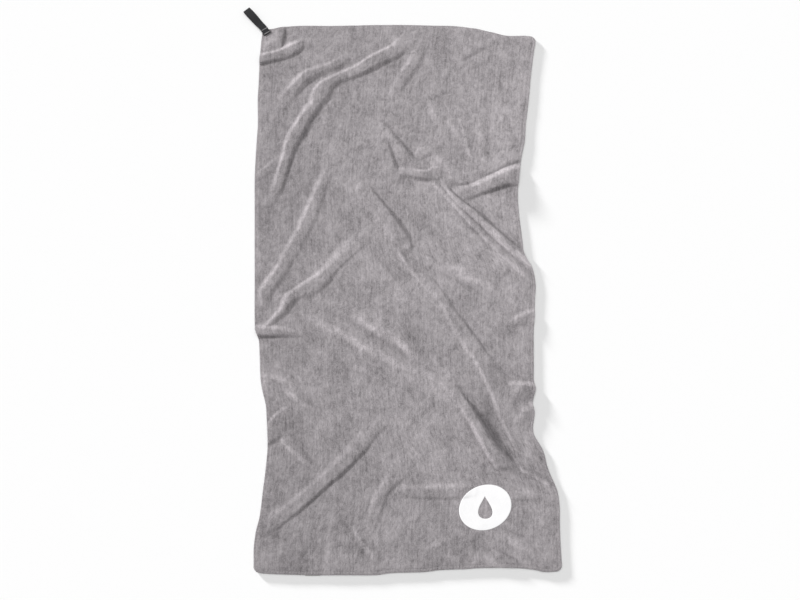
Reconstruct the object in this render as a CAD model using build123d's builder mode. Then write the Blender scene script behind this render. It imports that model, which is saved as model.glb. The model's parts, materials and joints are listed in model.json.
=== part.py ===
from build123d import *

import os
from math import cos, radians, sin

# A plush microfibre sports towel with a webbing hang loop sewn to one corner, lying flat and face up.
# Frame: millimetres, +Z up. The origin is the centre of the towel's rectangle, on its underside.
# +Y runs along the towel towards the end with the hang loop, and +X to the right, seen from above.
# The cloth is split across the middle, where the towel folds in half, and the halves meet with a
# small gap. The upper half is the one towards +Y.

os.makedirs("parts", exist_ok=True)

# ---------------------------------------------------------------- driving dimensions

# Cloth
towel_width = 500.0
towel_length = 1000.0
pile_thickness = 3.2
corner_radius = 10.0

# Overlocked border: the pile is squeezed to a thin tongue, and thread wraps over, round and under it
overlock_width = 5.0
thread_thickness = 0.6
tongue_thickness = 2.0
running_gap = 0.02  # clearance between neighbouring pieces

# Fold across the middle
fold_y = -1.0
fold_gap = 1.0
fold_overrun = 1.0  # how far the border's cutters run past its fold edge

# Hang loop of half-inch webbing, doubled, leaving the corner at an angle
tape_width = 12.7
tape_thickness = 1.1
loop_angle = 130.0  # degrees from +X
corner_to_hinge = 3.0

# Tail of the loop, sewn down on the cloth
tail_length = 15.0
tail_clearance = 2.6  # from the hinge back to the tail
tail_bevel = 0.5

# Bar tacks that hold the tail down
tack_length = 10.6
tack_width = 1.7
tack_thickness = 0.4
tack_positions = (-4.4, -12.9)  # along the loop, from the hinge

# Oval badge with a drop-shaped window
badge_major = 87.2
badge_minor = 72.0
badge_angle = 23.0  # long axis, degrees from +X
badge_x = 128.5
badge_y = -381.4
badge_thickness = 0.5
drop_radius = 11.5
drop_height = 37.0

# Blank care label, set flush in the underside
label_width = 24.0
label_height = 40.0
label_thickness = 0.4
label_x = -150.0
label_y = -468.0

# ---------------------------------------------------------------- derived places

half_width = towel_width / 2
half_length = towel_length / 2
upper_cut = fold_y + fold_gap / 2
lower_cut = fold_y - fold_gap / 2
tongue_bottom = (pile_thickness - tongue_thickness) / 2
top_of_pile = pile_thickness + running_gap
top_of_tail = top_of_pile + 2 * tape_thickness

# The hinge lies outside the upper left corner, on a ray from the centre of the corner's arc.
loop_dx = cos(radians(loop_angle))
loop_dy = sin(radians(loop_angle))
hinge_offset = corner_radius + corner_to_hinge
hinge_x = -half_width + corner_radius + hinge_offset * loop_dx
hinge_y = half_length - corner_radius + hinge_offset * loop_dy

# Side view of the loop: local x runs out along the loop from its hinge, local y is up,
# and the tape's width is along the normal.
loop_side = Plane(
    origin=(hinge_x, hinge_y, 0),
    x_dir=(loop_dx, loop_dy, 0),
    z_dir=(loop_dy, -loop_dx, 0),
)


def half_outline(inset, cut, end):
    """Closed outline of one half of the towel, set in from the true edge.

    cut is the y of the straight edge at the fold; end is 1 for the upper half, -1 for the lower.
    """
    radius = corner_radius - inset
    side = half_width - inset
    tip = end * (half_length - inset)
    turn = end * radius
    with BuildLine() as line:
        Line((-side, cut), (-side, tip - turn))
        RadiusArc((-side, tip - turn), (-side + radius, tip), turn)
        Line((-side + radius, tip), (side - radius, tip))
        RadiusArc((side - radius, tip), (side, tip - turn), turn)
        Line((side, tip - turn), (side, cut))
        Line((side, cut), (-side, cut))
    return line.line


def save(part, name):
    """Label a piece and write its STEP file."""
    part.label = name
    export_step(part, f"parts/{name}.step")


# ---------------------------------------------------------------- cloth

def make_cloth(cut, end, has_label_seat=False):
    """One half of the cloth: full pile with a thin tongue round its outer edges."""
    with BuildPart() as cloth:
        # the full pile, inside the border
        with BuildSketch(Plane.XY):
            with BuildLine():
                add(half_outline(overlock_width, cut, end))
            make_face()
        extrude(amount=pile_thickness)
        # the squeezed tongue under the overlock thread
        with BuildSketch(Plane.XY.offset(tongue_bottom)):
            with BuildLine():
                add(half_outline(thread_thickness + running_gap, cut, end))
            make_face()
        extrude(amount=tongue_thickness)
        if has_label_seat:
            # shallow seat in the underside for the care label
            with BuildSketch(Plane.XY):
                with Locations((label_x, label_y)):
                    Rectangle(label_width + 2 * running_gap, label_height + 2 * running_gap)
            extrude(amount=label_thickness + running_gap, mode=Mode.SUBTRACT)
    return cloth.part


save(make_cloth(upper_cut, 1), "towel_cloth_upper")
save(make_cloth(lower_cut, -1, has_label_seat=True), "towel_cloth_lower")

# ---------------------------------------------------------------- overlocked border

def make_overlock(cut, end):
    """The run of thread round the three outer edges of one half."""
    cutter_cut = cut - end * fold_overrun
    with BuildPart() as overlock:
        with BuildSketch(Plane.XY):
            with BuildLine():
                add(half_outline(0, cut, end))
            make_face()
            with BuildLine():
                add(half_outline(overlock_width - running_gap, cutter_cut, end))
            make_face(mode=Mode.SUBTRACT)
        extrude(amount=pile_thickness)
        # channel that holds the tongue of the cloth
        with BuildSketch(Plane.XY.offset(tongue_bottom - running_gap)):
            with BuildLine():
                add(half_outline(thread_thickness, cutter_cut, end))
            make_face()
        extrude(amount=tongue_thickness + 2 * running_gap, mode=Mode.SUBTRACT)
    return overlock.part


save(make_overlock(upper_cut, 1), "overlock_edge_upper")
save(make_overlock(lower_cut, -1), "overlock_edge_lower")

# ---------------------------------------------------------------- hang loop, the free part beyond the corner

# Curves of the side view: (distance out from the hinge, height above the table)
loop_reach = 46.0
eye_height = 8.2
shoulder_height = eye_height - 1.0  # where the top of the eye is still rising
brow_height = eye_height - 1.2  # where it starts to fall towards the tip
tip_height = 3.8
root_x = 0.3
root_bottom = 3.25
root_top = root_bottom + 2 * tape_thickness
flat_start = 21.0  # the lower tape rests on the table from here
flat_end = 37.0  # to here

outer_over_tip = [
    (root_x, root_top),
    (6.0, 5.0),
    (14.0, 5.0),
    (24.0, shoulder_height),
    (33.0, eye_height),
    (41.0, brow_height),
    (loop_reach, tip_height),
    (42.6, 0.55),
    (flat_end, 0.0),
]
outer_underside = [
    (flat_start, 0.0),
    (13.5, 0.6),
    (9.0, 2.0),
    (6.0, 2.72),
    (root_x, root_bottom),
]
eye_over_tip = [
    (12.0, 2.85),
    (15.0, 3.7),
    (24.0, shoulder_height - tape_thickness),
    (33.0, eye_height - tape_thickness),
    (40.4, brow_height - tape_thickness),
    (loop_reach - tape_thickness, tip_height),
    (42.0, 1.6),
    (flat_end, tape_thickness),
]
eye_underside = [
    (flat_start, tape_thickness),
    (16.0, 1.45),
    eye_over_tip[0],
]

# Two layers of tape lie together at the hinge, sag to the table, and open into a flat teardrop eye.
with BuildPart() as hang_loop:
    with BuildSketch(loop_side):
        with BuildLine():
            Spline(*outer_over_tip, tangents=((1, -0.1), (-1, 0)))
            Line(outer_over_tip[-1], outer_underside[0])
            Spline(*outer_underside, tangents=((-1, 0), (-1, 0.1)))
            Line(outer_underside[-1], outer_over_tip[0])
        make_face()
        # the eye
        with BuildLine():
            Spline(*eye_over_tip, tangents=((1, 0.35), (-1, 0)))
            Line(eye_over_tip[-1], eye_underside[0])
            Spline(*eye_underside, tangents=((-1, 0), (-1, 0.5)))
        make_face(mode=Mode.SUBTRACT)
    extrude(amount=tape_width / 2, both=True)
save(hang_loop.part, "hang_loop")

# ---------------------------------------------------------------- sewn-down tail of the loop, on top of the corner

with BuildPart() as loop_tail:
    with BuildSketch(loop_side):
        with BuildLine():
            Polyline(
                (-tail_length, top_of_pile),
                (-tail_clearance, top_of_pile),
                (-tail_clearance, top_of_tail),
                (-tail_length + tail_bevel, top_of_tail),
                (-tail_length, top_of_tail - tail_bevel),
                close=True,
            )
        make_face()
    extrude(amount=tape_width / 2, both=True)
save(loop_tail.part, "loop_tail")

# ---------------------------------------------------------------- bar tacks across the tail

tack_plane = Plane(
    origin=(hinge_x, hinge_y, top_of_tail + running_gap),
    x_dir=(loop_dx, loop_dy, 0),
    z_dir=(0, 0, 1),
)
with BuildPart() as loop_bartack:
    with BuildSketch(tack_plane):
        with Locations(*[(place, 0) for place in tack_positions]):
            SlotOverall(tack_length, tack_width, rotation=90)
    extrude(amount=tack_thickness)
save(loop_bartack.part, "loop_bartack")

# ---------------------------------------------------------------- oval badge near the lower right corner

badge_plane = Plane(
    origin=(badge_x, badge_y, top_of_pile),
    x_dir=(cos(radians(badge_angle)), sin(radians(badge_angle)), 0),
    z_dir=(0, 0, 1),
)
upright_badge_plane = Plane(origin=(badge_x, badge_y, top_of_pile))

# The drop points to +Y. It is widest at belly_y and narrows through the flank points to its tip.
drop_tip = (0, drop_height / 2)
belly_y = -drop_height / 2 + drop_radius
flank_x = drop_radius * 0.62
flank_y = belly_y + drop_radius * 0.98

with BuildPart() as badge:
    with BuildSketch(badge_plane):
        Ellipse(badge_major / 2, badge_minor / 2)
    extrude(amount=badge_thickness)
    # a plain water drop is left open, so that the pile shows through
    with BuildSketch(upright_badge_plane):
        with BuildLine():
            Spline(
                drop_tip,
                (flank_x, flank_y),
                (drop_radius, belly_y),
                (0, belly_y - drop_radius),
                (-drop_radius, belly_y),
                (-flank_x, flank_y),
                drop_tip,
                tangents=((0.42, -1), (0.42, 1)),
            )
        make_face()
    extrude(amount=badge_thickness, mode=Mode.SUBTRACT)
save(badge.part, "badge")

# ---------------------------------------------------------------- care label in the underside

with BuildPart() as care_label:
    with BuildSketch(Plane.XY):
        with Locations((label_x, label_y)):
            Rectangle(label_width, label_height)
    extrude(amount=label_thickness)
save(care_label.part, "care_label")
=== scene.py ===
# A limp plush towel lying creased on a table: overlocked border, webbing hang loop stitched on near
# a corner at the +y end, oval badge with a drop-shaped hole, and a care label on the underside.
# X runs across the towel, Y along it, Z up from the table. Lengths are in millimetres until a mesh
# is made; the helper, lights and camera take metres.
import json
import math

import bpy
import numpy as np
from mathutils import Matrix, Vector


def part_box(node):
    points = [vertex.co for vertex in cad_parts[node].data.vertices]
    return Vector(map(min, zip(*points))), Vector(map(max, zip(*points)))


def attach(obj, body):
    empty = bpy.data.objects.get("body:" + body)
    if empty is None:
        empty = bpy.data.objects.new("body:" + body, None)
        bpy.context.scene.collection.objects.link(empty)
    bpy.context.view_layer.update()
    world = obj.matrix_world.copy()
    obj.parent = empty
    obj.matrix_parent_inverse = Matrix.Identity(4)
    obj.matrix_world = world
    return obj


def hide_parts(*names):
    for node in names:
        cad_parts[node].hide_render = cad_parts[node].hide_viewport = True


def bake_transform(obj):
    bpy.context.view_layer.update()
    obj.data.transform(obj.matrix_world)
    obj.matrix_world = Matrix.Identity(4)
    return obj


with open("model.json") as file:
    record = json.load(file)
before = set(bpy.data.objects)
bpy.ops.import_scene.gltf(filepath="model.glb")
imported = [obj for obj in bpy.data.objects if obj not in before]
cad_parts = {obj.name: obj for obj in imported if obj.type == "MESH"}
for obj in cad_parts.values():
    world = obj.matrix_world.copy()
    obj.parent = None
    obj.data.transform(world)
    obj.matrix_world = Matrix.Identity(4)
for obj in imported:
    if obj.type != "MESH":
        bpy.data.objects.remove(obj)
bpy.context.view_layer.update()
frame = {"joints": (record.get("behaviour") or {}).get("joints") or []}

MM = 0.001


# ---------------------------------------------------------------- measures taken from the frame
def box_mm(piece):
    return [np.array((corner.x, corner.y, corner.z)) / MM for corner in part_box(piece)]


CLOTH_LO, CLOTH_HI = box_mm("towel_cloth_upper")
UPPER_EDGE_LO, UPPER_EDGE_HI = box_mm("overlock_edge_upper")
LOWER_EDGE_LO, _ = box_mm("overlock_edge_lower")
LABEL_LO, LABEL_HI = box_mm("care_label")
TAIL_LO, TAIL_HI = box_mm("loop_tail")
LABEL_MID = (LABEL_LO + LABEL_HI) / 2
TAIL_MID = (TAIL_LO + TAIL_HI) / 2
BADGE_MID = sum(box_mm("badge")) / 2
PILE = CLOTH_HI[2] - CLOTH_LO[2]  # full thickness of the cloth

JOINTS = {joint["name"]: joint for joint in frame["joints"]}
HINGE = [value / MM for value in JOINTS["loop_swing"]["pos_m"]]
HINGE_AXIS = JOINTS["loop_swing"]["axis"]
LOOP_DIR = np.array([-HINGE_AXIS[1], HINGE_AXIS[0]])  # along the loop, away from the corner

# the flat towel, before it is laid on the table
HALF_W, HALF_L = 250, 500
CORNER_R = 10.0
# what brings the flat towel's measures to the frame's
SCALE = (
    (UPPER_EDGE_HI[0] - UPPER_EDGE_LO[0]) / 2 / HALF_W,
    (UPPER_EDGE_HI[1] - LOWER_EDGE_LO[1]) / 2 / HALF_L,
)

TAIL_SINK = 0.55  # how far the stitched tail of the loop presses into the pile
TAPE_THICK = 0.95
TAPE_RISE = 1.04  # between the two layers of tape at the stitches


# ---------------------------------------------------------------- how the cloth lies
def number_table(text, columns):
    return np.array([float(word) for word in text.split()]).reshape(-1, columns)


# Each fold is a name, then stations along its crest. Columns: x, y, height, reach of the side that
# faces the light, reach of the side that falls away from it (on the left of travel), all in mm;
# then in percent, the crown's share of each reach, and on each side how much the cloth's colour is
# painted lighter (painted highlight, lit flank) or darker (painted shade, far flank).
CREASES = """
corner_bar
-177.7 469.6 0.94 12.2 10.3 1 20 18 5
-183.7 463.4 3.79 15.6 13.7 23 40 55 17
-192.4 456.4 4.67 16.8 15 29 45 56 20
-203.8 449.6 4.88 17.1 15.2 30 46 56 21
-217.7 444.4 5.24 16.1 14.2 25 42 56 22
-233.6 439.6 6.24 15.5 13.6 22 39 56 25
-252.2 435.3 6.92 15.5 13.6 22 39 56 27

long_t
-121.4 390.9 1.49 13.9 13.8 27 27 13 10
-134.6 381.6 3.59 16.4 16.5 40 39 32 25
-142 366.9 4.94 20.3 19.3 50 58 34 27
-151.2 346.4 5.28 17.1 13.6 12 41 35 27
-160.6 332.4 5.61 18.4 14.9 18 46 35 27
-170.2 318.2 5.77 15.4 14.4 34 44 36 28
-176.9 304.3 5.75 15.8 14.7 36 45 36 28
-184.9 289.8 5.61 17 16 40 50 34 27
-191.9 274.6 5.5 16 14.9 36 46 34 26
-197.5 258.6 5.35 14.3 13.7 29 35 34 27
-201.7 242.4 4.86 13.6 13.6 25 26 34 27
-206.5 225.5 4.09 13.9 13.8 27 27 32 25
-211.5 207.3 3.35 14 13.9 27 28 30 23
-215.5 190.3 2.83 13.4 13.3 24 24 25 19
-222.2 173.7 1.87 12.6 12.6 20 20 17 13
-232.2 156 0.92 12.9 12.8 21 22 8 6

sweep_u
-161.1 -45.8 1.11 20 22 2 0 9 3
-138.8 -54 3.08 20.9 22.9 6 0 23 7
-118.7 -64.8 3.92 19.7 21.7 13 2 32 9
-98.6 -75.1 4.41 20.2 21.1 15 10 35 11
-79.7 -87.3 4.93 20 20.3 14 12 37 13
-62.9 -97.7 5.49 19 19.9 16 11 40 16
-45.4 -108.1 6.14 18.3 19.2 13 7 41 17
-28.1 -116.9 6.53 17.1 18.6 14 5 42 18
-11.9 -127.1 5.97 16 18.1 23 9 42 18
3.3 -137.4 4.48 13.4 13.7 17 15 36 11
20.1 -145.2 3.39 11.4 11.2 14 15 31 6
39.3 -153 2.47 9.4 9.1 2 7 22 5
55.7 -162.4 1.15 10 9.8 8 10 11 2

foot_bar2
214.8 -365.6 0.79 8.6 8.4 24 28 1 5
197.1 -363.7 1.81 9.4 9.2 30 34 6 12
180.9 -362.3 1.7 9.9 9.6 33 37 5 11
166.4 -360.9 0.68 9.4 9.2 30 34 1 4

centre_long2
113.2 -103.8 0.92 16.4 16.8 53 48 10 -3
124.4 -121 2.32 15.9 16.4 51 47 23 -5
134.8 -136.9 3.6 17.4 18.7 56 45 28 0
144.6 -153.4 3.46 19.4 21.6 60 44 28 0
153.3 -172 3.23 20 22.2 61 46 27 -1
161.2 -190.5 2.98 20 22.1 61 45 26 -3
167.2 -211.1 2.72 19.6 21.8 61 45 24 -4
173.2 -232 2.48 18.2 20.4 58 41 23 -5
178.7 -251.6 2 16.3 18.5 53 35 21 -7
184.4 -269.7 1.24 14.1 16.3 45 26 14 -6
190.1 -284 0.43 11.8 12.2 34 29 5 -2

corner_drop
-219.3 507.2 1.08 21.8 15.8 17 62 2 11
-221.1 494.9 3.25 22 16 18 62 5 34
-224.5 481.5 5.48 23.1 17.1 22 65 8 43
-227 469.3 4.57 23.4 17.4 23 65 7 40
-228.5 459.2 1.83 23.6 17.6 23 66 3 19

upper_arc
-99.1 433.9 2.51 13.7 13.1 10 15 13 2
-115.2 423.2 4.93 14.5 13.9 15 20 25 3
-131.3 416.6 4.37 13.7 13 9 15 25 2
-148.5 410.1 5.57 14.9 14.2 16 22 27 4
-164.5 402.4 6.39 16.6 15.9 25 30 29 6
-177.9 391.6 6.76 15.8 15.1 21 27 29 6
-187.9 379.2 5.55 16.1 15.5 23 28 27 4
-197.6 367.2 3.55 17.4 16.7 28 34 23 0
-206.5 353.6 2.36 17.6 16.9 29 35 17 -1
-211.6 334.7 1.14 16.7 16 26 31 8 0

long_s
7.5 472.7 0.9 14.2 14.1 34 34 8 -2
-6.1 452.7 3.88 17.3 17.3 46 46 29 4
-23.4 441.7 5.65 17.8 17.7 47 48 39 8
-40.5 433 5.86 16.8 16.7 44 44 41 10
-56.8 422.6 6.4 17.2 17.2 45 46 43 12
-73 412.6 6.17 15.3 15.3 39 39 43 11
-90 404.6 5.45 14.7 14.7 36 37 40 9
-107 398.2 4.91 13.5 13.5 30 31 37 6
-121.4 390.9 4.5 13.5 13.4 30 31 34 3
-134.6 381.6 4.34 16.2 16.1 42 43 30 0
-141.7 367.3 3.57 20.1 20.1 53 54 26 -4
-150 347.2 1.65 15.1 15.1 38 38 15 -5

edge_nick_a
-214.2 236.8 0.6 11.5 12.3 28 20 4 -1
-225.1 227.7 1.41 11.6 12.4 29 21 8 -1
-239 215.7 2.54 11.8 12.6 30 21 12 2
-251.2 206.7 1.59 11 11.8 25 16 9 -1

left_long
-122.1 221.2 0.77 14.2 14.6 22 19 7 -2
-133.2 201.2 1.99 15 15.4 26 23 19 -4
-142.5 178.7 2.9 15.7 16.1 29 26 27 -6
-149.8 157 3.22 16.2 16.6 31 28 28 -6
-156.1 139.3 3.31 17.2 17.6 36 33 28 -6
-163.4 120.7 2.93 17.5 17.9 36 33 27 -7
-170.4 103.1 2.58 17.5 17.9 36 33 24 -6
-179.8 86.5 3.09 16.8 17.2 34 31 28 -6
-188.8 68.2 1.93 17.4 17.8 36 33 18 -5
-197 52.7 2.23 16.9 17.3 34 31 21 -6
-204.7 37.4 3.66 15.9 16.3 30 27 29 -5
-215.6 19.3 4.54 16.7 17.1 33 30 30 -4
-226.2 4.2 4.66 15.9 16.3 30 27 30 -4
-233.8 -10.3 3.81 16.3 16.7 32 29 30 -5
-234.6 -24.9 1.51 13.9 14.3 20 17 14 -4

left_second
-55.5 102.5 0.61 23.4 14.4 0 55 5 -1
-70.3 86.4 1.32 24.3 15.3 0 58 11 -3
-85 71.7 2.03 24 15 0 57 17 -5
-100 57 2.53 23.7 14.7 0 56 21 -6
-114.4 42.6 2.84 20.4 13.8 4 53 23 -6
-127.3 27.2 3.05 19.8 14.4 13 55 24 -5
-137.6 14.2 4.08 16.6 17.2 41 36 27 -3
-150.7 3.7 3.61 18.4 19.7 53 44 26 -4
-165.5 -5.1 3.36 16.9 18.7 49 34 27 -3
-180 -11.5 3.92 14 14 30 30 29 -1
-191.5 -18.9 4.71 14.3 13.7 22 28 32 1
-197.7 -29.5 4.95 12.5 12.3 17 20 33 1
-203.1 -41.6 4.48 10.9 11 10 10 29 -1
-212.9 -52.1 3.99 10 10.7 14 7 27 -3
-222.5 -61.8 3.1 9.1 9.8 5 0 24 -5
-232.7 -72.7 1.76 9.1 9.7 5 0 15 -4

left_tuck
-169.4 -82.9 0.83 9.9 7.8 0 0 8 10
-192.1 -81.7 1.91 11.8 9.6 0 18 20 23
-210.4 -80.2 4.48 13.6 11.4 10 31 35 43
-227.3 -79.4 5.16 14.9 12.7 18 38 37 47
-246.7 -78.7 5.81 14.9 12.7 18 38 38 49

rim_v
-35.9 275 1.62 19.3 15.2 22 55 -3 6
-31.1 254.7 4.13 18.6 14.5 19 53 -4 17
-26 235.8 5.02 18.8 14.7 20 53 -3 22
-19.6 218.1 4.96 18.4 14.3 18 52 -3 21
-12.1 202.8 2.72 18 13.9 16 51 -4 13

rim_low
57.9 208.2 1.96 17.5 16.9 49 55 11 1
45.7 204.6 5.88 14 13.5 37 43 30 8
32.5 205 7.6 12.6 12 30 36 33 12
18.3 207.6 5.21 11.8 11.2 25 32 28 5
4.3 210.4 4.35 11.1 10.5 20 27 26 3
-4.6 213.4 2.16 10.9 10.3 19 26 13 1

rim_high
-33 301.8 2.24 11.6 11 5 10 -2 14
-19.3 281.5 3.75 11.6 10.9 4 10 -1 20
-5.7 262.5 5.02 12.8 12.2 13 19 1 22
7.4 244.6 5.54 13.6 13 18 24 2 23
19.6 231.9 4.8 13 13.6 15 10 0 22
33.5 224.1 4.52 13.8 14.4 20 15 0 22
47.2 215.1 1.35 11.5 10.9 4 10 -2 9

rim_curl
54.6 252.6 2.28 11.4 12.1 24 18 6 3
44.2 250.5 4.35 13.2 13.8 35 29 10 7
32.8 244.4 4.17 13.1 13.7 34 28 10 6
25 238.1 1.29 11.3 11.9 24 17 4 0

rim_tail
49 263.4 1.07 10.2 10.4 15 13 4 3
60.4 248.4 2.15 11 11.2 21 19 8 6
73.2 233.5 2.37 11.1 11.3 22 20 8 6
86.4 218.8 2.35 11.7 11.9 26 24 8 6
97.7 206.1 1.17 12.4 12.6 30 28 5 3

right_bar
209.7 203.4 6.79 24.6 21.2 43 66 44 27
192.4 200.4 7.47 23 19.5 39 63 44 28
179.3 196.7 7.6 21.4 18 34 60 43 27
165.1 191 7.33 20.3 16.8 30 57 42 26
150.9 184.6 6.79 19 15.6 26 53 39 23
135.9 178.9 5.52 18.3 14.9 23 51 34 19
119.9 172.4 3.7 18.2 14.8 23 51 28 13
104.6 168.6 2.16 18.4 15 23 52 17 8
92 165.9 0.99 17.2 13.7 18 47 8 4

right_shelf
208.1 245.6 1.52 21.6 17.4 4 29 -6 37
188.5 237.4 1.9 21.8 17.6 5 30 -3 40
170.7 229 1.9 21.7 17.5 4 30 -4 39
155.5 219.6 1.9 22 17.8 6 31 -4 39
142.1 215.8 0.95 22.1 17.9 6 31 -8 30

right_shelf_b
132.2 205 1.02 17 12.2 0 29 0 14
119 199.3 2.71 18.7 13.8 1 37 3 22
103.3 197.7 2.78 19.4 14.5 5 40 3 22
89.5 198 1.5 18.2 13.3 0 35 1 18

cross_b
71.6 188.4 1.33 7.9 7.2 0 11 10 5
80.9 176 4.38 7.2 6.5 0 0 30 16
90.2 162.6 7.66 8.5 7.7 7 17 39 20
103.8 149.3 7.96 8.5 7.7 6 16 40 20
120 136.4 9.66 8.2 7.4 3 13 44 21
133.4 123.2 9.25 8.2 7.4 3 13 43 21
146.9 109.1 8.46 8.1 7.4 3 13 41 20
161.1 95.4 7.01 9.1 8.3 13 23 38 19
174.4 81.4 7.7 9.1 8.3 13 23 39 20
188.2 69.7 5.66 11.4 8.8 1 31 34 18
202.8 58 7.16 11.9 8.8 0 31 38 19
216.2 47.8 7.14 11.9 8.8 0 31 38 19
228.5 34.9 5.31 9.4 8.3 12 27 29 14

cross_a
52.9 194.8 1.46 6 6.3 9 3 14 6
68.8 177.5 2.86 6.3 6.6 13 8 28 12
85.7 156.6 3.51 6.3 6.6 13 8 30 14
102.6 135.7 3.94 6.2 6.5 13 8 32 15
119.8 115.9 4.08 6.6 6.9 17 12 32 15
136.6 97.6 4.64 6.9 7.2 21 16 34 17
152 79.8 4.36 7.2 7.5 24 19 33 16
164.5 67.2 3.83 8.1 8.4 33 28 31 14
176.1 53.3 3.62 9.2 10.5 18 4 31 14
189.4 41.7 3.61 9.9 10.7 15 6 31 14
202.6 28.8 3.18 10.4 10.7 9 6 29 13
214 15.9 2.12 10.4 10.7 9 6 22 9

cross_bank
84.3 122.5 1.36 24.3 20.9 22 41 -3 11
98.6 104.2 2.25 23.2 19.8 18 38 -1 13
113.8 87.8 2.5 23 19.7 17 37 0 14
126.9 71.9 2.02 22.7 19.4 16 36 -1 13
138.6 58.3 0.94 21.5 18.2 12 32 -2 7

centre_a
-67.4 180.6 2.2 20.2 16.3 25 55 3 6
-50.6 154.5 5.21 20.9 17 28 57 6 14
-32.8 128.9 7.6 21.4 17.5 30 59 8 21
-18.3 108.1 8.23 21.2 17.3 29 58 8 22
-7.1 87.8 7.9 21.8 17.9 31 59 8 22
3.3 72.5 3.32 19.9 16 24 55 4 10

centre_b
-14.6 94.8 1.74 10.2 11.5 41 26 27 -3
-8.2 77.4 1.83 8 9.2 25 8 28 -3
-2.3 60.2 1.95 6.6 7.8 8 0 29 -2
5.9 43.6 1.96 6.2 7.4 3 0 29 -2
16 28.8 1.82 6.1 7.4 2 0 28 -3
26 16 1.54 6.6 7.8 9 0 26 -4
38.3 4.1 1.09 8.7 10 31 15 21 -4
48.2 -6.5 0.54 10.1 11.3 40 25 10 -1

centre_long
42.4 6.5 1.88 12.8 12.9 44 44 11 13
57.2 -8.9 2.35 10.9 10.9 34 34 13 16
69.5 -29 2.42 11.4 11.4 37 37 13 17
80 -48.8 2.62 12.1 12.1 41 40 14 17
91.1 -68.7 3.14 14.9 14.9 52 51 18 18
102.7 -86.9 3.59 14.8 14.8 52 51 21 19
113.2 -103.8 3.91 16.1 16.1 56 55 23 19
124.4 -121 4.24 15.6 15.7 54 54 24 19
134.8 -136.9 3.23 17.2 17.2 58 58 19 18
144.6 -153.4 1.33 19.1 19.1 63 62 8 9

sweep
3.3 -137.4 1.09 13.4 11.5 17 37 3 4
20.1 -145.2 1.92 11.4 10.1 14 28 6 7
39.3 -153 2.86 9.4 8.5 2 14 8 10
55.7 -162.4 2.85 8.2 9 31 20 8 10
71.2 -173.9 2.57 10.6 10.8 47 44 7 9
83.6 -186.8 2.88 12.6 12.8 55 53 8 10
92.6 -201.3 3.55 11.6 12 51 46 10 13
103.8 -217.6 7.7 11.5 12.7 51 37 22 27
114.4 -236.3 12.69 11.5 14.4 51 21 25 31
124.1 -254.2 14.18 11.9 14.7 53 23 23 29
133.7 -272 12.78 12.4 15.2 54 26 22 27
144.4 -289.7 11.29 13.6 16.4 58 31 20 26
157.2 -306.5 9.05 15.3 18.2 63 38 20 25
169.7 -313.3 5.37 12.3 13.5 48 34 15 19
179.6 -321.5 1.56 11.5 12.3 44 35 4 6

sweep_bank
-70.7 -47.7 1.82 19 26.7 29 0 17 2
-52 -56.6 4.66 22.3 30 39 3 43 5
-35.1 -64.3 6.92 23.9 31.7 43 8 47 9
-18.5 -71.3 7.8 24.1 31.8 44 9 49 10
-3.3 -82.9 7.47 22.7 30.5 40 5 48 10
8.5 -97.2 4.91 20.4 28.1 33 0 43 5
18.7 -112.1 1.82 17.7 25.4 23 0 17 2

soft_a
95 46.4 0.65 23.5 27.2 22 5 10 -4
108.1 33.4 1.74 24.7 28.4 25 9 23 -9
123.3 23.8 2.4 23.8 27.5 23 6 28 -6
139.8 15.9 2.56 22.5 26.2 18 1 29 -5
152.8 6.4 1.73 20.9 24.6 12 0 23 -9
163.2 -3.9 0.64 19.3 23 4 0 10 -4

soft_b
82.5 0.5 1.35 24.1 17.7 0 24 -4 11
95.8 -11.6 2.67 25.5 19.1 0 29 -1 16
111.4 -20.2 2.47 25.6 19.2 0 29 -2 15
126.5 -26.5 0.98 22.7 16.3 0 17 -3 8

soft_c
173.9 44.4 0.83 20.1 15.9 9 38 5 8
167.2 31.7 1.94 22.1 17.9 17 45 8 13
155.7 18.3 1.65 21.6 17.4 15 43 8 13

right_nick
223.8 -58.2 3.85 18.6 18 34 38 18 2
206.8 -61.6 3.85 16.8 16.2 27 32 18 2
192.4 -65.6 3 13.9 13.3 12 17 14 -2
174.6 -71.3 0.93 10.5 10 0 0 6 -3

right_low_a
218.3 -189.4 5.93 18.4 18.8 33 30 41 2
204.5 -188 5.71 18.7 19.1 35 31 38 -1
190.6 -185.3 4.83 18.6 19 34 31 36 -4
177.6 -183.9 2.79 16.6 17 26 23 31 -8
161.3 -185.9 0.71 13.8 14.2 11 8 11 -4

right_low_b
217.3 -215.6 4.06 16.2 18.8 7 0 22 6
206.6 -222.5 3.44 17.2 19.8 13 0 19 3
199.1 -230.6 2.71 18.4 20.9 18 4 16 0
189.7 -241.4 2.26 18.6 21.2 19 5 15 -1
178.9 -257.1 0.99 18.6 21.1 19 5 8 -1

right_low_c
202.7 -265.1 0.24 13.4 14.4 9 2 17 -10
204.5 -275.9 0.54 14.2 15.1 14 7 24 -12
206.2 -286.9 0.25 13.5 14.5 10 3 17 -10

left_low_a
-185.4 -222.2 0.59 19 21.8 60 40 17 -5
-195.7 -228.8 1.76 19.8 22.6 62 42 41 -11
-205 -235 2.2 18.6 21.4 60 39 42 -10
-216 -244.4 1.97 16.4 19.2 54 32 41 -10
-227.5 -257 1.02 14.6 17.4 49 25 29 -8

left_low_e
-208.3 -245 1.06 27 20.7 17 52 -5 7
-217.2 -253.8 2.96 24.7 18.4 9 46 -7 15
-226.9 -260.5 3.25 23.8 17.5 5 43 -6 16
-237.4 -268.8 2.85 23.5 17.1 4 42 -7 15

left_low_b
-197.9 -254.1 1.33 13.7 14.8 33 23 20 -6
-190.7 -268.8 3.51 13.1 14.2 30 19 37 -6
-182.1 -278.3 3.74 11.9 13.1 23 12 38 -6
-171.1 -289 3.73 11.2 12.3 17 7 38 -6
-161.6 -297.4 3.35 10.7 11.9 14 3 37 -7
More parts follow.
